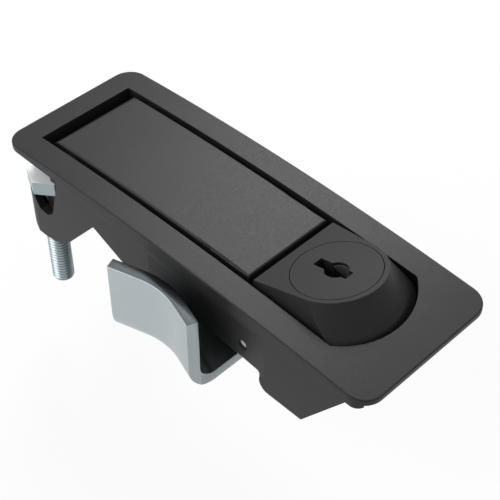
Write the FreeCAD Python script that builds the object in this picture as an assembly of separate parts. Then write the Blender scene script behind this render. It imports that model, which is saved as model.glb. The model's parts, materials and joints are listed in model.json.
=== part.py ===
import FreeCAD, Part
import os
from math import sin, cos, tan, radians, sqrt, acos, atan2

V = FreeCAD.Vector
os.makedirs("parts", exist_ok=True)

# Frame: millimetres, +Z out of the panel, origin at the middle of the bezel on the panel's face.
# The lever's hinged end is at -X, the raised trigger with the lock at +X.

# Bezel
bezel_length = 120.0
bezel_width = 42.0
bezel_corner = 5.2
bezel_end_thickness = 1.45
bezel_crown = 2.336
bezel_edge = 0.3

# Collar that drops into the panel cut-out
collar_side_step = 1.0
collar_end_step = 2.5
collar_depth = 2.65
collar_corner = 2.5

# Steps from the bezel's left end, where the hinge and the bolts are
housing_left_step = 2.9
dish_left_step = 7.0
notch_left_step = 7.4
boss_left_step = 7.65
bolt_step = 7.9
boss_middle_step = 11.3
lever_pivot_step = 13.5
notch_foot_step = 15.3
boss_slope_step = 15.8
notch_top_step = 18.7
boss_right_step = 20.9
ramp_top_step = 31.7
ramp_foot_step = 45.6

# Steps from the bezel's right end, where the trigger and the pawl are
housing_right_step = 5.5
block_right_step = 18.5
lock_step = 27.31
dish_round_step = 27.7
block_left_step = 31.5
trigger_pin_step = 37.2
lever_right_step = 41.65
pawl_right_step = 44.7
scoop_step = 49.0
pawl_middle_step = 57.0

# Dish opening
dish_half_width = 14.25
dish_round = 18.45
dish_floor = -6.0

# Housing walls under the bezel
wall_half_width = 19.6
housing_bottom = -14.8
block_bottom = -20.2
boss_bottom = -26.0
boss_chamfer = 5.7
boss_corner = 5.2
boss_inner = 8.5
rim_thickness = 1.8
rim_end_cut = 2.0
middle_bottom = -11.2
scoop_half = 19.0
scoop_depth = 0.7
floor_thickness = 1.6
slope_wall = 1.3

# Lever
lever_side_gap = 1.5
lever_barrel = 5.0
lever_drop = 0.05
lever_underside = -3.2
lever_wall = 2.35
lever_skin = 2.6
lever_edge = 0.5
barrel_gap = 0.4

# Pins
lever_pin_r = 1.5
lever_pin_bearing = 2.1
trigger_pin_r = 1.4
trigger_pin_recess = 0.3
pawl_pin_r = 1.95
pin_clearance = 0.05

# Trigger
trigger_gap = 1.7
trigger_tilt = 13.24
trigger_rise = 0.22
trigger_face_r = 11.5
trigger_face_half = 12.9
trigger_clearance = 0.3
trigger_skirt_z = 0.2
trigger_skirt_depth = 1.0
trigger_core_z = -2.2
trigger_core_half = 12.0
trigger_pin_z = -10.6
trigger_eye = 2.4
trigger_leg = 3.0
trigger_leg_y = 8.5
nose_reach = 0.3
nose_half = 7.5
catch_gap = 0.2
catch_thickness = 1.5
catch_length = 8.35
catch_half = 8.0
catch_screw_step = 4.2
catch_screw_y = 5.0
catch_screw_r = 1.2
catch_screw_depth = 3.2
catch_head_r = 2.2
catch_head = 1.1

# Lock
lock_r = 10.5
lock_disc = 2.0
disc_gap = 0.15
lock_barrel_r = 6.5
clip_gap = 0.2
clip_depth = 1.0
clip_rim = 1.4
key_round = 2.77
key_left = 5.8
key_right = 3.8
key_slot = 2.7
key_depth = 7.0
key_slot_depth = 4.0
core_pin_r = 1.2
core_pin_drop = 4.6
cam_thickness = 1.5
cam_length = 8.0
cam_width = 6.0

# Pawl
pawl_thickness = 2.9
pawl_length = 26.2
pawl_top = -2.5
pawl_middle_y = -26.0
pawl_bow = 20.0
pawl_bow_angle = 17.5
pawl_bend = 4.4
pawl_cut_angle = 20.2
arm_top = -22.95
pawl_pivot_y = 10.0
lug_gap = 0.5
lug_thickness = 4.0
lug_half = 4.0
spring_room = 4.5
clip_thickness = 0.8

# Wound springs and the lock cam's screw
trigger_spring_wire = 0.8
trigger_spring_turns = 5
trigger_spring_start = -2.3
pawl_spring_wire = 0.9
pawl_spring_turns = 3
coil_spacing = 1.12
spring_ease = 0.5
cam_screw_head_r = 2.8
cam_screw_head = 1.6
cam_screw_r = 1.55

# Length past the part that cutting tools have
beyond = 40.0

# Mounting bolts
bolt_y = 14.4
bolt_r = 3.0
bolt_neck_r = 2.7
bolt_thread_gap = 0.2
bolt_hole_r = 3.3
bolt_flats = 10.0
bolt_head = 4.0
bolt_seat = -12.35
bolt_length = 34.6
bolt_turn = 276.0
bolt_head_gap = 0.1
pocket_wall = 0.6

left_end = -bezel_length / 2
right_end = bezel_length / 2
housing_left = left_end + housing_left_step
dish_left = left_end + dish_left_step
bolt_x = left_end + bolt_step
lever_pivot_x = left_end + lever_pivot_step
boss_left = left_end + boss_left_step
boss_middle = left_end + boss_middle_step
boss_slope = left_end + boss_slope_step
notch_left = left_end + notch_left_step
notch_foot = left_end + notch_foot_step
notch_top = left_end + notch_top_step
boss_right = left_end + boss_right_step
ramp_top = left_end + ramp_top_step
ramp_foot = left_end + ramp_foot_step
housing_right = right_end - housing_right_step
block_right = right_end - block_right_step
block_left = right_end - block_left_step
lock_x = right_end - lock_step
dish_round_x = right_end - dish_round_step
trigger_pin_x = right_end - trigger_pin_step
lever_right = right_end - lever_right_step
catch_left = lever_right - catch_length
pawl_right = right_end - pawl_right_step
pawl_left = pawl_right - pawl_length
pawl_middle_x = right_end - pawl_middle_step
scoop_middle = right_end - scoop_step
crown_r = ((bezel_length / 2) ** 2 + bezel_crown ** 2) / (2 * bezel_crown)
crown_z = bezel_end_thickness + bezel_crown - crown_r
tilt = radians(trigger_tilt)


def crown_at(x):
    return crown_z + sqrt(crown_r ** 2 - x ** 2)


def box(x0, x1, y0, y1, z0, z1):
    return Part.makeBox(x1 - x0, y1 - y0, z1 - z0, V(x0, y0, z0))


def rod(radius, start, end):
    step = V(*end).sub(V(*start))
    return Part.makeCylinder(radius, step.Length, V(*start), step)


# Closed wire of (x, z, radius) corners in the XZ plane
def corners(points):
    edges = []
    ends = []
    count = len(points)
    for i in range(count):
        before = V(points[i - 1][0], 0, points[i - 1][1])
        here = V(points[i][0], 0, points[i][1])
        after = V(points[(i + 1) % count][0], 0, points[(i + 1) % count][1])
        radius = points[i][2]
        if radius == 0:
            ends.append((here, here))
            continue
        back = (before - here).normalize()
        ahead = (after - here).normalize()
        half = back.getAngle(ahead) / 2
        reach = radius / tan(half)
        middle = (back + ahead).normalize() * (radius / sin(half))
        first = here + back * reach
        last = here + ahead * reach
        inner = here + middle
        mid = inner + (here - inner).normalize() * radius
        edges.append(Part.Arc(first, mid, last).toShape())
        ends.append((first, last))
    for i in range(count):
        start = ends[i][1]
        end = ends[(i + 1) % count][0]
        edges.append(Part.makeLine(start, end))
    return Part.Wire(Part.__sortEdges__(edges))


def slab(points, y0, y1):
    face = Part.Face(corners([p if len(p) == 3 else (p[0], p[1], 0) for p in points]))
    face.translate(V(0, y0, 0))
    return face.extrude(V(0, y1 - y0, 0))


def rounded_box(x0, x1, y0, y1, z0, z1, radius):
    body = box(x0, x1, y0, y1, z0, z1)
    upright = [e for e in body.Edges if abs(e.tangentAt(e.FirstParameter).z) > 0.9]
    return body.makeFillet(radius, upright)


def dish_edges(left, half, radius, height):
    corner = dish_round_x + sqrt(radius ** 2 - half ** 2)
    a = V(left, -half, height(left))
    b = V(corner, -half, height(corner))
    c = V(corner, half, height(corner))
    d = V(left, half, height(left))
    tip = V(dish_round_x + radius, 0, height(dish_round_x + radius))
    return [Part.makeLine(a, b), Part.Arc(b, tip, c).toShape(), Part.makeLine(c, d), Part.makeLine(d, a)]


def dish_prism(left, half, radius, z0, z1):
    face = Part.Face(Part.Wire(dish_edges(left, half, radius, lambda x: z0)))
    return face.extrude(V(0, 0, z1 - z0))


def crowned(body, drop=0.0):
    drum = Part.makeCylinder(crown_r - drop, 2 * beyond, V(0, -beyond, crown_z), V(0, 1, 0))
    return body.common(drum)


def coil(radius, wire, turns, start, axis):
    pitch = wire * coil_spacing
    helix = Part.makeHelix(pitch, pitch * turns, radius)
    points = []
    for k in range(9):
        a = radians(45 * k)
        points.append(V(radius + wire / 2 * cos(a), 0, wire / 2 * sin(a)))
    body = Part.Wire(helix.Edges).makePipeShell([Part.makePolygon(points)], True, True)
    body.Placement = FreeCAD.Placement(V(*start), FreeCAD.Rotation(V(0, 0, 1), V(*axis)))
    return body


def save(name, body):
    body = body.removeSplitter()
    print(name, len(body.Solids), body.isValid(), round(body.Volume, 1))
    body.exportStep("parts/" + name + ".step")


# Housing: crowned bezel, collar and walls in one casting
half_l = bezel_length / 2
half_w = bezel_width / 2
bezel = rounded_box(-half_l, half_l, -half_w, half_w, 0, bezel_end_thickness + bezel_crown + 1, bezel_corner)
bezel = crowned(bezel)
rim = [e for e in bezel.Edges if e.BoundBox.ZMin > bezel_end_thickness - 0.2 and e.Length > 1]
bezel = bezel.makeFillet(bezel_edge, rim)
collar_l = half_l - collar_end_step
collar_w = half_w - collar_side_step
collar = rounded_box(-collar_l, collar_l, -collar_w, collar_w, -collar_depth, 0.5, collar_corner)
side = [
    (housing_left, 0.5),
    (housing_left, boss_bottom + boss_chamfer),
    (boss_left, boss_bottom, 0.4),
    (boss_middle, boss_bottom, 2.0),
    (boss_slope, boss_bottom + 1.1, 3.0),
    (boss_right, boss_bottom + 4.8, 1.0),
    (ramp_top, housing_bottom + 6.2, 0.4),
    (ramp_foot, housing_bottom, 1.0),
    (block_left, housing_bottom, 0.8),
    (block_left, block_bottom, 2.8),
    (block_right, block_bottom, 0.3),
    (housing_right, -1.8),
    (housing_right, 0.5),
]
walls = slab(side, -wall_half_width, wall_half_width)
left_corners = [e for e in walls.Edges if e.BoundBox.XMax < housing_left + 0.01 and e.BoundBox.ZLength > 5]
walls = walls.makeFillet(boss_corner, left_corners)
housing = bezel.fuse(collar).fuse(walls)
housing = housing.cut(box(left_end, housing_left, -half_w, half_w, -collar_depth - 1, 0))
rim_inner = collar_w - rim_thickness
housing = housing.cut(
    box(collar_l - rim_end_cut, collar_l + 1, -rim_inner, rim_inner, -collar_depth - 1, 0)
)

# Dish: lever well, barrel pocket and the deeper trigger well with its sloped end wall
slope = (housing_right - block_right) / (block_bottom + 1.8)
well_floor = housing_bottom + floor_thickness
well_right = housing_right - slope_wall
lever_pivot_z = crown_at(lever_pivot_x) - lever_barrel
well = dish_prism(dish_left, dish_half_width, dish_round, dish_floor, 8)
pocket_r = lever_barrel + barrel_gap
pocket_y = dish_half_width
pocket_start = (lever_pivot_x, -pocket_y, lever_pivot_z)
pocket = rod(pocket_r, pocket_start, (lever_pivot_x, pocket_y, lever_pivot_z))
room = dish_prism(lever_right - 9, dish_half_width + 0.95, dish_round + 2.6, well_floor, 0)
foot_x = well_right - slope * (well_floor + 1.8)
room_outline = [
    (lever_right - 9, well_floor),
    (foot_x, well_floor),
    (well_right, -1.8),
    (well_right, 0),
    (lever_right - 9, 0),
]
limit = slab(room_outline, -wall_half_width, wall_half_width)
housing = housing.cut(well).cut(pocket).cut(room.common(limit))

# Shallow scoops where the pawl stands beside the walls
scoop_r = (scoop_half ** 2 + scoop_depth ** 2) / (2 * scoop_depth)
for s in (-1, 1):
    centre = s * (wall_half_width + scoop_r - scoop_depth)
    scoop = Part.makeCylinder(scoop_r, 14, V(scoop_middle, centre, -collar_depth - 14), V(0, 0, 1))
    housing = housing.cut(scoop)

# Gap between the two bosses, bolt pockets and their notches
boss_gap = box(housing_left - 1, ramp_top - 1.2, -boss_inner, boss_inner, boss_bottom - 1, middle_bottom)
housing = housing.cut(boss_gap)
hex_r = bolt_flats / sqrt(3)
notch = [
    (notch_left, 0),
    (notch_left, bolt_seat - 0.8),
    (notch_left + 2.3, bolt_seat - 4.6, 0.8),
    (notch_foot - 2.8, bolt_seat - 4.9, 1.2),
    (notch_foot - 0.7, bolt_seat - 3.5, 1.2),
    (notch_foot, bolt_seat - 1.95),
    (notch_top, -collar_depth),
    (notch_top, 0),
]
pocket_right = bolt_x + hex_r + 0.1
head_room = bolt_seat + bolt_head + bolt_head_gap
pin_left = lever_pivot_x - lever_pin_r - pocket_wall
lever_reach = dish_half_width + lever_pin_bearing
for s in (-1, 1):
    near = sorted((s * half_w, s * 17.0))
    housing = housing.cut(slab(notch, near[0], near[1]))
    seat = sorted((s * half_w, s * (bolt_y - hex_r - 0.2)))
    housing = housing.cut(box(left_end, pocket_right, seat[0], seat[1], bolt_seat, head_room))
    inner = sorted((s * half_w, s * (lever_reach + 0.2)))
    housing = housing.cut(box(left_end, pocket_right, inner[0], inner[1], bolt_seat, 0))
    open_side = sorted((s * half_w, s * (dish_half_width + pocket_wall)))
    housing = housing.cut(box(left_end, pin_left, open_side[0], open_side[1], bolt_seat, 0))
    hole = rod(bolt_hole_r, (bolt_x, s * bolt_y, -beyond), (bolt_x, s * bolt_y, bolt_seat + 1))
    housing = housing.cut(hole)



# Round bar across the part, along Y
def cross_rod(radius, x, z, half):
    return rod(radius, (x, -half, z), (x, half, z))


# Pin bores
lever_pin = cross_rod(lever_pin_r, lever_pivot_x, lever_pivot_z, lever_reach)
housing = housing.cut(lever_pin).cut(cross_rod(trigger_pin_r, trigger_pin_x, trigger_pin_z, half_w + 4))

# Pawl lugs under the floor, one at each side of the pawl's knuckle
pin_room = pawl_pin_r + pin_clearance
knuckle_r = pin_room + pawl_thickness
pawl_pivot_z = arm_top + pin_room
lean = pawl_thickness * tan(radians(pawl_cut_angle))
arm_left = pawl_left - lean
arm_right = pawl_right + lean
left_lug = (arm_left - lug_gap - spring_room - lug_thickness, arm_left - lug_gap - spring_room)
right_lug = (arm_right + lug_gap, arm_right + lug_gap + lug_thickness)
for x0, x1, top in (left_lug + (dish_floor - 3,), right_lug + (housing_bottom + 0.5,)):
    lug = box(x0, x1, pawl_pivot_y - lug_half, pawl_pivot_y + lug_half, pawl_pivot_z, top)
    eye = rod(lug_half, (x0, pawl_pivot_y, pawl_pivot_z), (x1, pawl_pivot_y, pawl_pivot_z))
    housing = housing.fuse(lug).fuse(eye)
lug_span = ((left_lug[0] - 1, pawl_pivot_y, pawl_pivot_z), (right_lug[1] + 1, pawl_pivot_y, pawl_pivot_z))
housing = housing.cut(rod(pawl_pin_r, lug_span[0], lug_span[1]))
save("housing", housing)

# Lever: crowned paddle with a round hinge barrel, hollow below
lever_half = dish_half_width - lever_side_gap
paddle = box(lever_pivot_x, lever_right, -lever_half, lever_half, lever_underside, 6)
barrel = cross_rod(lever_barrel, lever_pivot_x, lever_pivot_z, lever_half)
lever = crowned(paddle, lever_drop).fuse(crowned(barrel, lever_drop))
edges = []
for e in lever.Edges:
    b = e.BoundBox
    on_side = abs(abs(b.YMin) - lever_half) < 0.01 and b.YLength < 0.01 and b.XLength > 40 and b.ZMin > 1
    on_end = b.XLength < 0.01 and b.XMin > lever_right - 0.01 and b.ZMin > 2 and b.YLength > 10
    if on_side or on_end:
        edges.append(e)
lever = lever.makeFillet(lever_edge, edges)
hollow_left = lever_pivot_x + lever_barrel + lever_wall
hollow = box(
    hollow_left, catch_left - 1, -lever_half + lever_wall, lever_half - lever_wall,
    lever_underside - 1, crown_at(hollow_left) - lever_skin,
)
lever = lever.cut(hollow)
bore = lever_pin_r + pin_clearance
lever = lever.cut(cross_rod(bore, lever_pivot_x, lever_pivot_z, dish_half_width + 6))
screw_x = catch_left + catch_screw_step
screw_bore = catch_screw_r + pin_clearance
screw_top = lever_underside + catch_screw_depth
for s in (-1, 1):
    y = s * catch_screw_y
    lever = lever.cut(rod(screw_bore, (screw_x, y, lever_underside - 1), (screw_x, y, screw_top + 0.3)))
save("lever", lever)
save("lever_pin", lever_pin)

# Steel catch under the lever's free end
trigger_left = lever_right + trigger_gap
catch_right = trigger_left - nose_reach - catch_gap
catch_low = lever_underside - catch_thickness
catch = box(catch_left, catch_right, -catch_half, catch_half, catch_low, lever_underside)
for s in (-1, 1):
    y = s * catch_screw_y
    catch = catch.cut(rod(screw_bore, (screw_x, y, catch_low - 1), (screw_x, y, lever_underside + 1)))
save("lever_catch", catch)
for s, name in ((-1, "catch_screw_near"), (1, "catch_screw_far")):
    y = s * catch_screw_y
    shank = rod(catch_screw_r, (screw_x, y, catch_low), (screw_x, y, screw_top))
    head = Part.makeCone(catch_head_r - 0.7, catch_head_r, catch_head, V(screw_x, y, catch_low - catch_head))
    save(name, shank.fuse(head))

# Trigger: tilted face, ruled skirt, core and two legs to its pin
face_z = crown_at(trigger_left) + trigger_rise + tan(tilt) * (lock_x - trigger_left)


def face_at(x):
    return face_z + tan(tilt) * (x - lock_x)


reach = sqrt((lock_x - trigger_left) ** 2 + trigger_face_half ** 2)
turn = atan2(trigger_face_half, trigger_left - lock_x) - acos(trigger_face_r / reach)
skirt_half = dish_half_width - trigger_clearance
skirt_r = dish_round - trigger_clearance
bottom = dish_edges(trigger_left, skirt_half, skirt_r, lambda x: trigger_skirt_z)

arc_steps = []
for i in range(13):
    t = -turn + 2 * turn * i / 12
    x = lock_x + trigger_face_r * cos(t)
    arc_steps.append(V(x, trigger_face_r * sin(t), face_at(x)))
face_end = Part.BSplineCurve()
face_end.interpolate(arc_steps)
near = V(trigger_left, -trigger_face_half, face_at(trigger_left))
far = V(trigger_left, trigger_face_half, face_at(trigger_left))
top = Part.Wire([
    Part.makeLine(near, arc_steps[0]),
    face_end.toShape(),
    Part.makeLine(arc_steps[-1], far),
    Part.makeLine(far, near),
])
head = Part.makeLoft([Part.Wire(bottom), top], True, True)
skirt = dish_prism(trigger_left, skirt_half, skirt_r, trigger_skirt_z - trigger_skirt_depth, trigger_skirt_z)
core_right = lock_x + 9.5
core = box(trigger_left, core_right, -trigger_core_half, trigger_core_half, trigger_core_z, trigger_skirt_z)
trigger = head.fuse(skirt).fuse(core)
nose = box(trigger_left - nose_reach, trigger_left + 1.5, -nose_half, nose_half, -3.0, -1.2)
trigger = trigger.fuse(nose)
for s in (-1, 1):
    y0, y1 = sorted((s * trigger_leg_y, s * (trigger_leg_y + trigger_leg)))
    leg = slab(
        [
            (trigger_left + 0.3, trigger_core_z + 0.5),
            (trigger_left + 7.5, trigger_core_z + 0.5),
            (trigger_pin_x + trigger_eye, trigger_pin_z),
            (trigger_pin_x - trigger_eye, trigger_pin_z),
        ],
        y0,
        y1,
    )
    eye = rod(trigger_eye, (trigger_pin_x, y0, trigger_pin_z), (trigger_pin_x, y1, trigger_pin_z))
    trigger = trigger.fuse(leg).fuse(eye)
bore = trigger_pin_r + pin_clearance
trigger = trigger.cut(cross_rod(bore, trigger_pin_x, trigger_pin_z, dish_half_width + 6))

# Lock axis: through the disc's centre, square to the tilted face
out = V(-sin(tilt), 0, cos(tilt))
face_point = V(lock_x, 0, face_z)


def along(radius, depth0, depth1):
    return Part.makeCylinder(radius, depth1 - depth0, face_point - out * depth1, out)


trigger = trigger.cut(along(lock_r, -3, lock_disc))
trigger = trigger.cut(along(lock_barrel_r + pin_clearance, 0, 20))
save("trigger", trigger)
pin_half = wall_half_width - scoop_depth - trigger_pin_recess
save("trigger_pin", cross_rod(trigger_pin_r, trigger_pin_x, trigger_pin_z, pin_half))

# Lock plug with its key opening, centre pin, clip and cam. The clip stands just under the trigger's core
clip_r = lock_barrel_r + clip_rim
clip_top = (face_z - trigger_core_z + clip_r * sin(tilt)) / cos(tilt) + clip_gap
lock_barrel_depth = clip_top + clip_depth
plug = along(lock_r - disc_gap, 0, lock_disc).fuse(along(lock_barrel_r, lock_disc, lock_barrel_depth))
key_box = Part.makeBox(
    key_left + key_right, key_slot, key_slot_depth + 1, V(-key_left, -key_slot / 2, -key_slot_depth)
)
key_hole = Part.makeCylinder(key_round, key_depth + 1, V(0, 0, -key_depth)).fuse(key_box)
lock_place = FreeCAD.Placement(face_point, FreeCAD.Rotation(V(0, 1, 0), -trigger_tilt))
key_hole.Placement = lock_place
plug = plug.cut(key_hole)
save("lock_plug", plug)
core_pin_base = core_pin_drop + core_pin_r
core_pin = Part.makeCylinder(core_pin_r, key_depth - core_pin_base, V(0, 0, -key_depth))
core_pin = core_pin.fuse(Part.makeSphere(core_pin_r, V(0, 0, -core_pin_base)))
core_pin.Placement = lock_place
save("lock_core_pin", core_pin)
clip = along(clip_r, clip_top, lock_barrel_depth).cut(along(lock_barrel_r, 0, 20))
save("lock_clip", clip)
cam_low = lock_barrel_depth + cam_thickness
cam = Part.makeBox(cam_width, cam_length, cam_thickness, V(-cam_width / 2, -cam_length, -cam_low))
cam = cam.fuse(Part.makeCylinder(cam_width / 2 + 0.8, cam_thickness, V(0, 0, -cam_low)))
cam = cam.cut(Part.makeCylinder(cam_screw_r + pin_clearance, 10, V(0, 0, -lock_barrel_depth - 8)))
cam.Placement = lock_place
save("lock_cam", cam)
cam_screw = along(cam_screw_head_r, cam_low, cam_low + cam_screw_head)
save("cam_screw", cam_screw.fuse(along(cam_screw_r, lock_barrel_depth, cam_low)))

# Torsion spring round the trigger pin
spring_foot = (trigger_pin_x, trigger_spring_start, trigger_pin_z)
spring_r = trigger_pin_r + spring_ease
save("trigger_spring", coil(spring_r, trigger_spring_wire, trigger_spring_turns, spring_foot, (0, 1, 0)))

# Pawl: one strip, bowed in plan, bent from its plate into its arm and rolled round its pin
bow_t = radians(pawl_bow_angle)
bow_y = pawl_middle_y - pawl_bow
bend_top = arm_top + pawl_bend
bend_depth = pawl_thickness + pawl_bend
bow_middle = V(pawl_middle_x, bow_y, 0)


# The strip's section at the bow's middle, as points (depth behind the front face, height)
def strip_section(reach):
    y0 = pawl_middle_y
    inner = y0 + pawl_thickness
    turn_y = y0 + bend_depth
    low = arm_top - pawl_thickness
    s45 = sin(radians(45))
    outer_mid = V(pawl_middle_x, turn_y - bend_depth * s45, bend_top - bend_depth * s45)
    inner_mid = V(pawl_middle_x, turn_y - pawl_bend * s45, bend_top - pawl_bend * s45)
    points = [
        V(pawl_middle_x, y0, pawl_top),
        V(pawl_middle_x, y0, bend_top),
        V(pawl_middle_x, turn_y, low),
        V(pawl_middle_x, turn_y + reach, low),
        V(pawl_middle_x, turn_y + reach, arm_top),
        V(pawl_middle_x, turn_y, arm_top),
        V(pawl_middle_x, inner, bend_top),
        V(pawl_middle_x, inner, pawl_top),
    ]
    edges = [
        Part.makeLine(points[0], points[1]),
        Part.Arc(points[1], outer_mid, points[2]).toShape(),
        Part.makeLine(points[2], points[3]),
        Part.makeLine(points[3], points[4]),
        Part.makeLine(points[4], points[5]),
        Part.Arc(points[5], inner_mid, points[6]).toShape(),
        Part.makeLine(points[6], points[7]),
        Part.makeLine(points[7], points[0]),
    ]
    return Part.Face(Part.Wire(edges))


# The front face's place in plan: a bow with a straight run at each end
def pawl_front_y(x):
    past = abs(x - pawl_middle_x) - pawl_bow * sin(bow_t)
    if past <= 0:
        return bow_y + sqrt(pawl_bow ** 2 - (x - pawl_middle_x) ** 2)
    return bow_y + pawl_bow * cos(bow_t) - past * tan(bow_t)


section = strip_section(4.0)
section.rotate(bow_middle, V(0, 0, 1), pawl_bow_angle)
pawl = section.revolve(bow_middle, V(0, 0, 1), -2 * pawl_bow_angle)
for s in (-1, 1):
    end = strip_section(4.0)
    end.rotate(bow_middle, V(0, 0, 1), -s * pawl_bow_angle)
    pawl = pawl.fuse(end.extrude(V(s * cos(bow_t), -sin(bow_t), 0) * 16))
arm_start = pawl_middle_y + bend_depth + 1.0
arm = box(arm_left, arm_right, arm_start, pawl_pivot_y, arm_top - pawl_thickness, arm_top)
left_front = pawl_front_y(pawl_left)
right_front = pawl_front_y(pawl_right)
outline = Part.makePolygon([
    V(arm_left, beyond, -beyond),
    V(arm_left, left_front + pawl_thickness, -beyond),
    V(pawl_left, left_front, -beyond),
    V(pawl_left, -beyond, -beyond),
    V(pawl_right, -beyond, -beyond),
    V(pawl_right, right_front, -beyond),
    V(arm_right, right_front + pawl_thickness, -beyond),
    V(arm_right, beyond, -beyond),
    V(arm_left, beyond, -beyond),
])
pawl = pawl.common(Part.Face(outline).extrude(V(0, 0, 2 * beyond)))


# Round bar along the pawl's hinge line, from x0 to x1
def hinge_rod(radius, x0, x1):
    return rod(radius, (x0, pawl_pivot_y, pawl_pivot_z), (x1, pawl_pivot_y, pawl_pivot_z))


pawl = pawl.fuse(arm).fuse(hinge_rod(knuckle_r, arm_left, arm_right))
pawl = pawl.cut(hinge_rod(pin_room, arm_left - 1, arm_right + 1))
save("pawl", pawl)

pin_end = clip_thickness + 0.6
save("pawl_pin", hinge_rod(pawl_pin_r, left_lug[0] - pin_end, right_lug[1] + pin_end))
for name, x0 in (("pawl_clip_left", left_lug[0] - clip_thickness), ("pawl_clip_right", right_lug[1])):
    ring = hinge_rod(pawl_pin_r + 1.7, x0, x0 + clip_thickness)
    save(name, ring.cut(hinge_rod(pawl_pin_r, x0 - 1, x0 + 2)))
spring_foot = (arm_left - lug_gap - spring_room + 0.6, pawl_pivot_y, pawl_pivot_z)
spring_r = pawl_pin_r + spring_ease + 0.05
save("pawl_spring", coil(spring_r, pawl_spring_wire, pawl_spring_turns, spring_foot, (1, 0, 0)))

# Hexagon bolts that hang from the bosses, with a plain neck inside the boss
thread_top = boss_bottom - bolt_thread_gap
for s, name in ((-1, "bolt_near"), (1, "bolt_far")):
    points = []
    for k in range(7):
        a = radians(s * (60 * k - bolt_turn))
        points.append(V(bolt_x + hex_r * cos(a), s * bolt_y + hex_r * sin(a), bolt_seat))
    head = Part.Face(Part.makePolygon(points)).extrude(V(0, 0, bolt_head))
    neck = rod(bolt_neck_r, (bolt_x, s * bolt_y, thread_top - 1), (bolt_x, s * bolt_y, bolt_seat + 1))
    thread = rod(bolt_r, (bolt_x, s * bolt_y, bolt_seat - bolt_length), (bolt_x, s * bolt_y, thread_top))
    save(name, head.fuse(neck).fuse(thread))
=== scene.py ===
import json
import math

import bmesh
import bpy
from mathutils import Matrix, Vector


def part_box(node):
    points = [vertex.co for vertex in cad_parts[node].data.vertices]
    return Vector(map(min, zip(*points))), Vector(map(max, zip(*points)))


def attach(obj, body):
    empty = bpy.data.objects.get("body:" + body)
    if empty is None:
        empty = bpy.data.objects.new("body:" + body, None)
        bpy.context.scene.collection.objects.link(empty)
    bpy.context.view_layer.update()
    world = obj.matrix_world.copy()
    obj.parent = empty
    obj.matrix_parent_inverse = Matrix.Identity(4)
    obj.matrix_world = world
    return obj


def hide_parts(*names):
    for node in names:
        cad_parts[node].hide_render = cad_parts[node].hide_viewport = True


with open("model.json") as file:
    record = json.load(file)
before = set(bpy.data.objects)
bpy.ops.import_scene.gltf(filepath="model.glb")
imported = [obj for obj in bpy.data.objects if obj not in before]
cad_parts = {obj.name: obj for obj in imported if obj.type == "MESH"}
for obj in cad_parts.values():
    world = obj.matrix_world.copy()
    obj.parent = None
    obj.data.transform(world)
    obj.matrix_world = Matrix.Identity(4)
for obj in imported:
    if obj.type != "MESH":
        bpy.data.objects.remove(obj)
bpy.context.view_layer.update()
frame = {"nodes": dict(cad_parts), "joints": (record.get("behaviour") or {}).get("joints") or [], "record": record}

nodes = frame["nodes"]
print("frame loaded:", len(nodes), "solids")


def addObject(name, data):
    thing = bpy.data.objects.new(name, data)
    bpy.context.scene.collection.objects.link(thing)
    return thing


# camera at the photograph's angle, midway between the near side and the lock's end, 45 degrees down
cameraPlace = {
    "position": (0.15242, -0.14636, 0.20100),
    "back": (0.5, -0.5, 0.70711),
    "lens": 89.48,
    "sensor": 36.0,
    "nearest": 0.01,
    "farthest": 20.0,
}


def placeCamera(place):
    data = bpy.data.cameras.new("camera")
    data.lens = place["lens"]
    data.sensor_width = place["sensor"]
    data.clip_start, data.clip_end = place["nearest"], place["farthest"]
    camera = addObject("camera", data)
    back = Vector(place["back"]).normalized()
    right = Vector((0, 0, 1)).cross(back).normalized()
    up = back.cross(right)
    turn = Matrix((right, up, back)).transposed().to_4x4()
    camera.matrix_world = Matrix.Translation(place["position"]) @ turn
    bpy.context.scene.camera = camera


placeCamera(cameraPlace)
bpy.context.scene.view_settings.view_transform = "Standard"
print("camera placed")


class Board:
    # a small helper that adds nodes to a tree and links them
    def __init__(self, tree):
        self.tree = tree

    def add(self, kind, settings=None, **sockets):
        node = self.tree.nodes.new(kind)
        for key, value in (settings or {}).items():
            setattr(node, key, value)
        for key, value in sockets.items():
            self.feed(node, key.replace("_", " "), value)
        return node

    def feed(self, node, key, value):
        socket = node.inputs[int(key[1:])] if key[0] == "i" and key[1:].isdigit() else node.inputs[key]
        if isinstance(value, bpy.types.NodeSocket):
            self.tree.links.new(value, socket)
        else:
            socket.default_value = value

    def maths(self, operation, *values):
        node = self.add("ShaderNodeMath", {"operation": operation})
        for i, value in enumerate(values):
            self.feed(node, "i%d" % i, value)
        return node.outputs[0]

    def mapped(self, value, fromMin, fromMax, toMin, toMax):
        node = self.add("ShaderNodeMapRange", Value=value)
        limits = {"From Min": fromMin, "From Max": fromMax, "To Min": toMin, "To Max": toMax}
        for key, given in limits.items():
            self.feed(node, key, given)
        return node.outputs[0]

    def blend(self, kind, share, first, second):
        node = self.add("ShaderNodeMixRGB", {"blend_type": kind}, Fac=share, Color1=first, Color2=second)
        return node.outputs["Color"]

    def noise(self, spot, scale, detail, roughness):
        node = self.add("ShaderNodeTexNoise", Vector=spot, Scale=scale, Detail=detail, Roughness=roughness)
        return node.outputs["Fac"]

    def openness(self, distance, samples):
        return self.add("ShaderNodeAmbientOcclusion", {"samples": samples}, Distance=distance).outputs["AO"]

    def skin(self, kind):
        return self.add("ShaderNodeNewGeometry").outputs[kind]

    def anyRay(self, *kinds):
        # 1 for a ray of any of these kinds, otherwise 0
        path = self.add("ShaderNodeLightPath").outputs
        found = path["Is %s Ray" % kinds[0]]
        for kind in kinds[1:]:
            found = self.maths("MAXIMUM", found, path["Is %s Ray" % kind])
        return found


def newMaterial(name):
    material = bpy.data.materials.new(name)
    material.use_nodes = True
    material.node_tree.nodes.clear()
    return material, Board(material.node_tree)


# noises are given as scale, detail and roughness; their middle part sets how rough a finish is
noiseMiddle = (0.3, 0.7)

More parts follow.
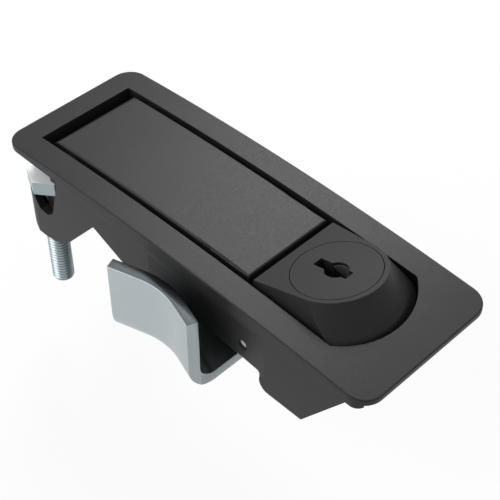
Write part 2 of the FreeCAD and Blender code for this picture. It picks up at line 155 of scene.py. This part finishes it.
# black powder coat with a fine pebble skin, faint cloudy patches and a painted highlight that makes its edges a
# little lighter
coat = {
    "grain": (2600.0, 2.0, 0.55),
    "cloud": (90.0, 3.0, 0.6),
    "cloudShare": 0.4,
    "mottle": (0.32, 0.68),
    "pebble": 0.00003,
    "pebbleStrength": 0.5,
    "edgeRound": 0.00025,
    "edgeLean": (0.995, 0.90),
    "paintedEdgeLight": (0.075, 0.075, 0.077, 1),
    "edgeLightShare": 0.2,
    "roughSpread": (-0.05, 0.06),
    "specular": 0.18,
}


def edgeShare(b, rounded):
    # 0 on flat skin, 1 on a sharp edge: how far the rounded normal leans from the true one
    lean = b.add("ShaderNodeVectorMath", {"operation": "DOT_PRODUCT"}, i0=rounded, i1=b.skin("Normal"))
    return b.mapped(lean.outputs["Value"], *coat["edgeLean"], 0.0, 1.0)


def powderCoat(name, dark, light, rough):
    material, b = newMaterial(name)
    spot = b.add("ShaderNodeTexCoord").outputs["Object"]
    cloud = b.noise(spot, *coat["cloud"])
    grain = b.noise(spot, *coat["grain"])
    grains = b.maths("MULTIPLY", grain, 1 - coat["cloudShare"])
    ramp = b.add("ShaderNodeValToRGB", Fac=b.maths("MULTIPLY_ADD", cloud, coat["cloudShare"], grains))
    for element, place, colour in zip(ramp.color_ramp.elements, coat["mottle"], (dark, light)):
        element.position = place
        element.color = (*colour, 1)
    rounded = b.add("ShaderNodeBevel", {"samples": 4}, Radius=coat["edgeRound"]).outputs[0]
    # painted highlight: the base colour of the rounded edges is mixed a little lighter, patchily with the cloud
    # noise
    litEdgeMask = b.maths("MULTIPLY", b.maths("MULTIPLY", edgeShare(b, rounded), cloud), coat["edgeLightShare"])
    bump = b.add("ShaderNodeBump", Strength=coat["pebbleStrength"], Distance=coat["pebble"])
    b.feed(bump, "Height", grain)
    b.feed(bump, "Normal", rounded)
    shader = b.add("ShaderNodeBsdfPrincipled", Normal=bump.outputs[0])
    b.feed(shader, "Base Color", b.blend("MIX", litEdgeMask, ramp.outputs["Color"], coat["paintedEdgeLight"]))
    smoothest, roughest = (rough + step for step in coat["roughSpread"])
    b.feed(shader, "Roughness", b.mapped(grain, *noiseMiddle, smoothest, roughest))
    shader.inputs["Specular IOR Level"].default_value = coat["specular"]
    b.add("ShaderNodeOutputMaterial", Surface=shader.outputs[0])
    return material


# plated steel: a metal with a streaked roughness, cloudy tone, small rounded edges and painted shade darkening its
# grooves
plate = {
    "fine": (900.0, 4.0, 0.6),
    "cloud": (120.0, 3.0, 0.5),
    "contrast": 0.05,
    "edgeRound": 0.00025,
    "roughSpread": 0.06,
    "bump": 0.1,
    "bumpDepth": 0.00001,
    "grooveShadeOpen": (0.35, 0.95),
    "grooveShadeTone": 0.25,
    "upward": 0.5,
}


def paintedFacingTones(b, spot, tone, roughness, metal, cut):
    # painted light and shade by facing: faces that lean sideways are multiplied darker, and faces looking straight
    # up above a given level take a painted tone, dimmed by painted shade where ambient occlusion finds them closed
    # in
    lean = b.add("ShaderNodeSeparateXYZ", Vector=b.skin("True Normal")).outputs
    across = b.maths("ABSOLUTE", lean["X"])
    # painted shade: faces leaning far sideways have their tone multiplied darker
    for least, share in cut["sidewaysShade"]:
        tone = b.blend("MULTIPLY", b.maths("GREATER_THAN", across, least), tone, (share, share, share, 1))
    level = b.add("ShaderNodeSeparateXYZ", Vector=spot).outputs["Z"]
    upward = b.maths("GREATER_THAN", lean["Z"], plate["upward"])
    paintedTop = b.maths("MULTIPLY", upward, b.maths("GREATER_THAN", level, cut["above"]))
    topPaint = cut["colour"]
    # painted shade: the top tone mixes towards a dark one where ambient occlusion finds little room
    if "shaded" in cut:
        openShare = b.mapped(b.openness(cut["room"], 8), *cut["open"], 0.0, 1.0)
        topPaint = b.blend("MIX", openShare, cut["shaded"], topPaint)
    # painted top tone: a dark one on the pawl as shade, a near-white one on the bolt heads as highlight
    tone = b.blend("MIX", paintedTop, tone, topPaint)
    roughness = b.mapped(paintedTop, 0.0, 1.0, roughness, cut["rough"])
    metal = b.mapped(paintedTop, 0.0, 1.0, metal, cut["metal"])
    return tone, roughness, metal


def platedSteel(name, colour, rough, streak=(1.0, 1.0, 1.0), grooveShadeReach=0.0, metal=1.0, cut=None):
    material, b = newMaterial(name)
    spot = b.add("ShaderNodeTexCoord").outputs["Object"]
    fine = b.noise(b.add("ShaderNodeMapping", Vector=spot, Scale=streak).outputs[0], *plate["fine"])
    shares = (1 - plate["contrast"], 1 + plate["contrast"])
    dark, light = ((*[min(1.0, c * share) for c in colour], 1) for share in shares)
    tone = b.blend("MIX", b.noise(spot, *plate["cloud"]), dark, light)
    # painted shade: where ambient occlusion finds nearby surfaces, as in the thread's grooves, the tone is
    # multiplied darker
    if grooveShadeReach:
        shade = b.mapped(b.openness(grooveShadeReach, 6), *plate["grooveShadeOpen"], plate["grooveShadeTone"], 1.0)
        tone = b.blend("MULTIPLY", 1.0, tone, shade)
    roughness = b.mapped(fine, *noiseMiddle, rough - plate["roughSpread"] / 2, rough + plate["roughSpread"])
    rounded = b.add("ShaderNodeBevel", {"samples": 4}, Radius=plate["edgeRound"]).outputs[0]
    bump = b.add("ShaderNodeBump", Strength=plate["bump"], Distance=plate["bumpDepth"], Height=fine)
    b.feed(bump, "Normal", rounded)
    if cut:
        tone, roughness, metal = paintedFacingTones(b, spot, tone, roughness, metal, cut)
    shader = b.add("ShaderNodeBsdfPrincipled", Metallic=metal, Roughness=roughness, Normal=bump.outputs[0])
    b.feed(shader, "Base Color", tone)
    b.add("ShaderNodeOutputMaterial", Surface=shader.outputs[0])
    return material


# pawl plate: painted shade, with a dark tone on its top faces that ambient occlusion dims further, and its
# sideways faces multiplied darker
pawlTopShade = {
    "above": -0.0035,
    "colour": (0.115, 0.13, 0.137, 1),
    "shaded": (0.016, 0.018, 0.019, 1),
    "room": 0.014,
    "open": (0.70, 0.90),
    "rough": 0.45,
    "metal": 0.9,
    "sidewaysShade": [(0.6, 0.75), (0.97, 0.70)],
}
# bolt heads: a painted highlight, with a near-white, barely metallic tone on their top faces standing in for the
# light they catch
boltTopLight = {
    "above": -0.0090,
    "colour": (0.92, 0.97, 0.98, 1),
    "rough": 0.45,
    "metal": 0.1,
    "sidewaysShade": [],
}
finishes = {
    "black_housing": powderCoat("housing coat", (0.011, 0.011, 0.0115), (0.018, 0.018, 0.0185), 0.38),
    "black_lever": powderCoat("lever coat", (0.013, 0.013, 0.0135), (0.020, 0.020, 0.0205), 0.38),
    "black_trigger": powderCoat("trigger coat", (0.010, 0.010, 0.0105), (0.016, 0.016, 0.0165), 0.38),
    "lock_black": powderCoat("lock coat", (0.011, 0.011, 0.0115), (0.017, 0.017, 0.0175), 0.36),
    "lock_steel": platedSteel("dark lock steel", (0.11, 0.11, 0.113), 0.5, metal=0.7),
    "zinc_steel": platedSteel("zinc plate", (0.62, 0.65, 0.67), 0.3),
    "bright_steel": platedSteel("ground pin steel", (0.80, 0.81, 0.82), 0.30, metal=0.55),
    "spring_steel": platedSteel("spring wire", (0.42, 0.43, 0.44), 0.3),
    "pawl_steel": platedSteel("pawl plate", (0.43, 0.48, 0.495), 0.32, (1.0, 1.0, 0.15), cut=pawlTopShade),
    "bolt_steel": platedSteel("bolt plate", (0.34, 0.40, 0.42), 0.30, grooveShadeReach=0.0007, cut=boltTopLight),
}


def dressNodes():
    for part in frame["record"]["subparts"]:
        piece = nodes[part["node"]]
        piece.data.materials.clear()
        piece.data.materials.append(finishes[part["material_slot"]])


dressNodes()
print("finishes made:", len(finishes))


# one tree per repeated form; its inputs are set on the modifier by their identifiers
def newTree(name, inputs):
    tree = bpy.data.node_groups.new(name, "GeometryNodeTree")
    for label, kind in inputs:
        tree.interface.new_socket(name=label, in_out="INPUT", socket_type="NodeSocket" + kind)
    tree.interface.new_socket(name="Geometry", in_out="OUTPUT", socket_type="NodeSocketGeometry")
    board = Board(tree)
    return tree, board, board.add("NodeGroupInput").outputs


def closeTree(board, shape, finish):
    smooth = board.add("GeometryNodeSetShadeSmooth", Geometry=shape).outputs[0]
    real = board.add("GeometryNodeRealizeInstances", Geometry=smooth).outputs[0]
    dressed = board.add("GeometryNodeSetMaterial", Geometry=real, Material=finish).outputs[0]
    board.add("NodeGroupOutput", Geometry=dressed)


def plainMesh(thing):
    return bpy.data.meshes.new_from_object(thing.evaluated_get(bpy.context.evaluated_depsgraph_get()))


def grow(tree, values, place):
    carrier = addObject("carrier", bpy.data.meshes.new("carrier"))
    modifier = carrier.modifiers.new("grow", "NODES")
    modifier.node_group = tree
    for item in tree.interface.items_tree:
        if item.item_type == "SOCKET" and item.in_out == "INPUT":
            modifier[item.identifier] = values[item.name]
    mesh = plainMesh(carrier)
    bpy.data.objects.remove(carrier)
    mesh.transform(place)
    return mesh


def formToMesh(form, name):
    mesh = bpy.data.meshes.new(name)
    form.to_mesh(mesh)
    form.free()
    return mesh


def newPiece(name, meshes, body, slot, *replaced):
    form = bmesh.new()
    for mesh in meshes:
        form.from_mesh(mesh)
    whole = formToMesh(form, name)
    whole.materials.clear()
    whole.materials.append(finishes[slot])
    whole.polygons.foreach_set("material_index", [0] * len(whole.polygons))
    piece = addObject(name, whole)
    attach(piece, body)
    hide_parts(*replaced)
    return piece


def boxOf(node):
    low, high = (Vector(p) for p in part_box(node))
    return low, high, (low + high) / 2


def onCircle(radius, angle, height=0.0):
    return Vector((radius * math.cos(angle), radius * math.sin(angle), height))


def ringsMesh(rings):
    # rings of points, all of one length, joined side to side and capped at both ends
    form = bmesh.new()
    rows = [[form.verts.new(p) for p in ring] for ring in rings]
    count = len(rows[0])
    for low, high in zip(rows, rows[1:]):
        for i in range(count):
            j = (i + 1) % count
            form.faces.new((low[i], low[j], high[j], high[i]))
    form.faces.new(rows[0][::-1])
    form.faces.new(rows[-1])
    bmesh.ops.recalc_face_normals(form, faces=form.faces)
    return formToMesh(form, "rings")


def turnedMesh(centre, profile, around):
    # closed turned form about an upright axis, from (radius, height) steps
    rings = []
    for radius, height in profile:
        rings.append([centre + onCircle(radius, 2 * math.pi * i / around, height) for i in range(around)])
    return ringsMesh(rings)


# hexagon bolts: a chamfered head, and a shank with a rolled metric thread below the boss
bolt = {
    "flats": 0.010,
    "headChamfer": 0.985,
    "chamferSlope": math.tan(math.radians(12)),
    "turn": -276.0,
    "headHeight": 0.004,
    "headSteps": 96,
    "neckRadius": 0.0027,
    "neckInThread": 0.0004,
    "neckInHead": 0.001,
    "pitch": 0.001,
    "threadRadius": 0.00297,
    "rootRadius": 0.00242,
    "threadLength": 0.0207,
    "pointChamfer": 0.0006,
    "around": 40,
    "rowsPerTurn": 10.0,
}


def threadTree():
    inputs = [("Length", "Float"), ("Pitch", "Float"), ("Outer Radius", "Float"), ("Root Radius", "Float")]
    inputs += [("Point Chamfer", "Float"), ("Finish", "Material")]
    tree, b, given = newTree("rolled thread", inputs)
    length, pitch, root = given["Length"], given["Pitch"], given["Root Radius"]
    rows = b.maths("MULTIPLY", b.maths("DIVIDE", length, pitch), bolt["rowsPerTurn"])
    blank = b.add("GeometryNodeMeshCylinder", {"fill_type": "NGON"}, Vertices=bolt["around"], Radius=1.0)
    b.feed(blank, "Side Segments", rows)
    b.feed(blank, "Depth", length)
    spot = b.add("ShaderNodeSeparateXYZ", Vector=b.add("GeometryNodeInputPosition").outputs[0]).outputs
    angle = b.maths("DIVIDE", b.maths("ARCTAN2", spot["Y"], spot["X"]), 2 * math.pi)
    phase = b.maths("FRACT", b.maths("SUBTRACT", b.maths("DIVIDE", spot["Z"], pitch), angle))
    flank = b.maths("SUBTRACT", 1.0, b.maths("ABSOLUTE", b.maths("MULTIPLY_ADD", phase, 2.0, -1.0)))
    rise = b.add("ShaderNodeMapRange", {"interpolation_type": "SMOOTHSTEP"}, Value=flank).outputs[0]
    height = b.maths("SUBTRACT", given["Outer Radius"], root)
    fromPoint = b.maths("MULTIPLY_ADD", length, 0.5, spot["Z"])
    narrowed = b.maths("ADD", b.maths("SUBTRACT", root, given["Point Chamfer"]), fromPoint)
    radius = b.maths("MINIMUM", b.maths("MULTIPLY_ADD", rise, height, root), narrowed)
    across = {axis: b.maths("MULTIPLY", spot[axis], radius) for axis in ("X", "Y")}
    place = b.add("ShaderNodeCombineXYZ", Z=spot["Z"], **across).outputs[0]
    moved = b.add("GeometryNodeSetPosition", Geometry=blank.outputs["Mesh"], Position=place).outputs[0]
    closeTree(b, moved, given["Finish"])
    return tree


def hexHead(centre, seat, side):
    apothem = bolt["flats"] / 2
    circle = apothem * bolt["headChamfer"]
    roof = seat + bolt["headHeight"]
    low, wide, top = [], [], []
    for k in range(bolt["headSteps"]):
        turn = 2 * math.pi * k / bolt["headSteps"]
        radius = apothem / math.cos(turn % (math.pi / 3) - math.pi / 6)
        angle = turn + side * math.radians(bolt["turn"])
        low.append(centre + onCircle(radius, angle, seat))
        wide.append(centre + onCircle(radius, angle, roof - (radius - circle) * bolt["chamferSlope"]))
        top.append(centre + onCircle(circle, angle, roof))
    return ringsMesh([low, wide, top])


def makeBolts():
    tree = threadTree()
    values = {
        "Length": bolt["threadLength"],
        "Pitch": bolt["pitch"],
        "Outer Radius": bolt["threadRadius"],
        "Root Radius": bolt["rootRadius"],
        "Point Chamfer": bolt["pointChamfer"],
        "Finish": finishes["bolt_steel"],
    }
    for node, side in (("bolt_near", -1), ("bolt_far", 1)):
        low, high, middle = boxOf(node)
        centre = Vector((middle.x, middle.y, 0))
        seat = high.z - bolt["headHeight"]
        threadMiddle = (middle.x, middle.y, low.z + bolt["threadLength"] / 2)
        thread = grow(tree, values, Matrix.Translation(threadMiddle))
        neckEnds = (low.z + bolt["threadLength"] - bolt["neckInThread"], seat + bolt["neckInHead"])
        neck = turnedMesh(centre, [(bolt["neckRadius"], z) for z in neckEnds], bolt["around"])
        newPiece(node + "_threaded", [hexHead(centre, seat, side), thread, neck], "base", "bolt_steel", node)


makeBolts()
print("bolts threaded")


# torsion springs: round wire wound close round each pin
springs = {
    "trigger_spring": {"axis": "Y", "turns": 5, "radius": 0.0019, "wire": 0.0008},
    "pawl_spring": {"axis": "X", "turns": 3, "radius": 0.0025, "wire": 0.0009},
}
winding = {
    "gap": 1.12,
    "stepsPerTurn": 36,
    "around": 14,
}


def springTree():
    inputs = [("Turns", "Float"), ("Rise", "Float"), ("Coil Radius", "Float"), ("Wire Radius", "Float")]
    tree, b, given = newTree("wound wire", inputs + [("Finish", "Material")])
    line = b.add("GeometryNodeCurveSpiral", Rotations=given["Turns"], Height=given["Rise"])
    b.feed(line, "Resolution", winding["stepsPerTurn"])
    b.feed(line, "Start Radius", given["Coil Radius"])
    b.feed(line, "End Radius", given["Coil Radius"])
    wire = b.add("GeometryNodeCurvePrimitiveCircle", Radius=given["Wire Radius"])
    b.feed(wire, "Resolution", winding["around"])
    tube = b.add("GeometryNodeCurveToMesh", Curve=line.outputs[0], Profile_Curve=wire.outputs[0])
    tube.inputs["Fill Caps"].default_value = True
    closeTree(b, tube.outputs[0], given["Finish"])
    return tree


def makeSprings():
    tree = springTree()
    for node, form in springs.items():
        middle = boxOf(node)[2]
        rise = form["wire"] * winding["gap"] * form["turns"]
        alongX, alongY = Matrix.Rotation(math.pi / 2, 4, "Y"), Matrix.Rotation(-math.pi / 2, 4, "X")
        turn = alongX if form["axis"] == "X" else alongY
        values = {
            "Turns": float(form["turns"]),
            "Rise": rise,
            "Coil Radius": form["radius"],
            "Wire Radius": form["wire"] / 2,
            "Finish": finishes["spring_steel"],
        }
        mesh = grow(tree, values, Matrix.Translation(middle) @ turn @ Matrix.Translation((0, 0, -rise / 2)))
        newPiece(node + "_wound", [mesh], "base", "spring_steel", node)


makeSprings()
print("springs wound")


# snap clips on the pawl's pin: open rings that grip the pin at three prongs; angles in degrees
snapClip = {
    "mouth": 36,
    "step": 3,
    "outer": 0.00362,
    "inner": 0.0028,
    "grip": 0.00196,
    "prongs": (90, 180, 270),
    "prongHalf": 13,
}


def makeClips():
    steps = range(snapClip["mouth"], 360 - snapClip["mouth"] + 1, snapClip["step"])
    outline = [(degrees, snapClip["outer"]) for degrees in steps]
    for degrees in reversed(steps):
        near = min(abs(degrees - prong) for prong in snapClip["prongs"])
        outline.append((degrees, snapClip["grip"] if near <= snapClip["prongHalf"] else snapClip["inner"]))
    for node in ("pawl_clip_left", "pawl_clip_right"):
        low, high, middle = boxOf(node)
        rings = []
        for x in (low.x, high.x):
            ring = []
            for degrees, radius in outline:
                angle = math.radians(degrees - 90)
                ring.append((x, middle.y + radius * math.cos(angle), middle.z + radius * math.sin(angle)))
            rings.append(ring)
        newPiece(node + "_open", [ringsMesh(rings)], "base", "spring_steel", node)


makeClips()
print("snap clips made")


# the pawl's visible copy, with its stamped edges rounded
pawlEdges = {
    "round": 0.00016,
    "sharp": math.radians(30),
    "weld": 1e-6,
    "flatWithin": math.radians(0.5),
    "smoothWithin": math.radians(35),
}


def softenPawl():
    form = bmesh.new()
    form.from_mesh(nodes["pawl"].data)
    bmesh.ops.remove_doubles(form, verts=form.verts, dist=pawlEdges["weld"])
    bmesh.ops.dissolve_limit(form, angle_limit=pawlEdges["flatWithin"], verts=form.verts, edges=form.edges)
    corners = [e for e in form.edges if len(e.link_faces) == 2 and e.calc_face_angle(0) > pawlEdges["sharp"]]
    bmesh.ops.bevel(form, geom=corners, offset=pawlEdges["round"], segments=2, profile=0.5, affect="EDGES")
    mesh = formToMesh(form, "pawl")
    for face in mesh.polygons:
        face.use_smooth = len(face.vertices) <= 4  # the bow, bend and roundings; the flat faces stay flat
    piece = newPiece("pawl_rounded", [mesh], "pawl", "pawl_steel", "pawl")
    piece.data.set_sharp_from_angle(angle=pawlEdges["smoothWithin"])


softenPawl()
print("pawl edges rounded")


# the trigger's pin with slightly rounded ends, which catch the light in the housing's sides
triggerPin = {
    "steps": 8,
    "dome": 0.00025,
    "around": 40,
}


def makeTriggerPin():
    low, high, middle = boxOf("trigger_pin")
    radius = (high.x - low.x) / 2
    steps = []  # each ring's radius, and how far it lies behind the pin's end
    for k in range(triggerPin["steps"]):
        lift = math.pi / 2 * (1 - (k + 0.4) / triggerPin["steps"])
        steps.append((radius * math.cos(lift), triggerPin["dome"] * (1 - math.sin(lift))))
    stations = [(reach, low.y + behind) for reach, behind in steps]
    stations += [(reach, high.y - behind) for reach, behind in reversed(steps)]
    rings = []
    for reach, y in stations:
        ring = []
        for i in range(triggerPin["around"]):
            angle = 2 * math.pi * i / triggerPin["around"]
            ring.append((middle.x + reach * math.cos(angle), y, middle.z + reach * math.sin(angle)))
        rings.append(ring)
    mesh = ringsMesh(rings)
    for face in mesh.polygons:
        face.use_smooth = True
    newPiece("trigger_pin_domed", [mesh], "base", "bright_steel", "trigger_pin")


makeTriggerPin()
print("trigger pin made")


# pan-head screws that hold the catch under the lever, each with a cross recess
catchScrew = {
    # radius and share of the head's height
    "head": [(0.00075, 0.0), (0.0015, 0.1), (0.00198, 0.45), (0.0022, 0.75), (0.0022, 1.0)],
    "headHeight": 0.0011,
    "shankRadius": 0.0012,
    "recessDepth": 0.0007,
    "recessTaper": 0.45,
    "armLength": 0.0026,
    "armWidth": 0.0005,
    "around": 48,
}


def recessMesh(centre, low):
    form = bmesh.new()
    for turn in (0, math.pi / 2):
        for v in bmesh.ops.create_cube(form, size=1.0)["verts"]:
            inside = v.co.z > 0
            x = v.co.x * catchScrew["armLength"] * (catchScrew["recessTaper"] if inside else 1.0)
            y = v.co.y * catchScrew["armWidth"]
            z = low + (catchScrew["recessDepth"] if inside else -catchScrew["recessDepth"])
            v.co = centre + Matrix.Rotation(turn, 3, "Z") @ Vector((x, y, z))
    return formToMesh(form, "recess")


def makeCatchScrews():
    for node in ("catch_screw_near", "catch_screw_far"):
        low, high, middle = boxOf(node)
        centre = Vector((middle.x, middle.y, 0))
        profile = [(radius, low.z + share * catchScrew["headHeight"]) for radius, share in catchScrew["head"]]
        profile += [(catchScrew["shankRadius"], z) for z in (low.z + catchScrew["headHeight"], high.z)]
        body = addObject("screwBody", turnedMesh(centre, profile, catchScrew["around"]))
        tool = addObject("screwTool", recessMesh(centre, low.z))
        cut = body.modifiers.new("recess", "BOOLEAN")
        cut.operation = "DIFFERENCE"
        cut.solver = "EXACT"
        cut.use_self = True
        cut.object = tool
        mesh = plainMesh(body)
        for item in (body, tool):
            bpy.data.objects.remove(item)
        newPiece(node + "_crossed", [mesh], "lever", "zinc_steel", node)


makeCatchScrews()
print("catch screws made")


# inside the key opening, in the lock's tilted frame: a domed pin deep down and a steel guard on its wall
keyCore = {
    "pinRadius": 0.0012,
    "pinTop": 0.0046,
    "foot": 0.0068,
    "domeSteps": 8,
    "around": 48,
    "guardOuter": 0.00276,
    "guardInner": 0.00266,
    "guardTop": 0.0008,
    "guardFoot": 0.0040,
    "guardFrom": 31,
    "guardTo": 148,
    "guardStep": 3,
    "slopeFrom": 108,
    "slope": 0.000068,
}


def pinMesh():
    radius, top = keyCore["pinRadius"], keyCore["pinTop"]
    profile = [(radius, -keyCore["foot"]), (radius, -top - radius)]
    for k in range(1, keyCore["domeSteps"]):
        lift = math.pi / 2 * k / keyCore["domeSteps"]
        profile.append((radius * math.cos(lift), -top - radius + radius * math.sin(lift)))
    return turnedMesh(Vector((0, 0, 0)), profile, keyCore["around"])


def guardMesh():
    steps = range(keyCore["guardFrom"], keyCore["guardTo"] + 1, keyCore["guardStep"])
    outline = [(degrees, keyCore["guardOuter"]) for degrees in steps]
    outline += [(degrees, keyCore["guardInner"]) for degrees in reversed(steps)]
    foot, top = [], []
    for degrees, radius in outline:
        rise = max(0, degrees - keyCore["slopeFrom"]) * keyCore["slope"]
        foot.append(onCircle(radius, math.radians(degrees), rise - keyCore["guardFoot"]))
        top.append(onCircle(radius, math.radians(degrees), -keyCore["guardTop"]))
    return ringsMesh([foot, top])


def makeKeyCore():
    joint = [j for j in frame["joints"] if j["name"] == "lock_turn"][0]
    out = Vector(joint["axis"]).normalized()
    along = Vector((out.z, 0, -out.x))
    place = Matrix((along, Vector((0, 1, 0)), out)).transposed().to_4x4()
    place.translation = Vector(joint["pos_m"])
    meshes = [pinMesh(), guardMesh()]
    for mesh in meshes:
        mesh.transform(place)
    newPiece("lock_core_guarded", meshes, "lock", "lock_steel", "lock_core_pin")


makeKeyCore()
print("key opening's core made")


# studio: white room, pale floor just under the pawl's lowest reach, large soft lamps
studio = {
    "floor": -0.0620,
    "floorHalf": 3.0,
    "floorTone": (0.9, 0.9, 0.9, 1),
    "floorGlow": 0.88,
    "roomLight": 0.48,
    "lamps": [
        # place, aimed at, size in metres, watts
        ((-0.54, 0.68, 0.88), (0, 0, 0), 0.5, 7.5),
        ((-0.7, -1.0, 0.75), (0, 0, 0), 1.0, 12.0),
        ((0.9, 0.2, 1.1), (0, 0, 0), 1.0, 1.0),
    ],
}


def makeRoom():
    world = bpy.data.worlds.new("room")
    bpy.context.scene.world = world
    world.use_nodes = True
    world.node_tree.nodes.clear()
    b = Board(world.node_tree)
    seen = b.anyRay("Camera", "Transmission", "Glossy")
    strength = b.mapped(seen, 0.0, 1.0, studio["roomLight"], 1.0)
    shade = b.add("ShaderNodeBackground", Color=(1, 1, 1, 1), Strength=strength)
    b.add("ShaderNodeOutputWorld", Surface=shade.outputs[0])


def makeFloor():
    half = studio["floorHalf"]
    mesh = bpy.data.meshes.new("floor")
    corners = [(-half, -half), (half, -half), (half, half), (-half, half)]
    mesh.from_pydata([(x, y, studio["floor"]) for x, y in corners], [], [(0, 1, 2, 3)])
    floor = addObject("floor", mesh)
    material, b = newMaterial("floor white")
    paint = b.add("ShaderNodeBsdfDiffuse", Color=studio["floorTone"])
    glow = b.add("ShaderNodeEmission", Color=(1, 1, 1, 1), Strength=1.0)
    share = b.maths("MULTIPLY", b.anyRay("Camera", "Glossy"), studio["floorGlow"])
    mix = b.add("ShaderNodeMixShader", Fac=share, i1=paint.outputs[0], i2=glow.outputs[0])
    b.add("ShaderNodeOutputMaterial", Surface=mix.outputs[0])
    mesh.materials.append(material)


def hangLamps():
    for i, (place, target, size, watts) in enumerate(studio["lamps"]):
        data = bpy.data.lights.new("lamp%d" % i, "AREA")
        data.shape = "SQUARE"
        data.size = size
        data.energy = watts
        lamp = addObject("lamp%d" % i, data)
        lamp.location = place
        aim = Vector(target) - Vector(place)
        lamp.rotation_euler = aim.to_track_quat("-Z", "Y").to_euler()


makeRoom()
makeFloor()
hangLamps()
print("studio ready")
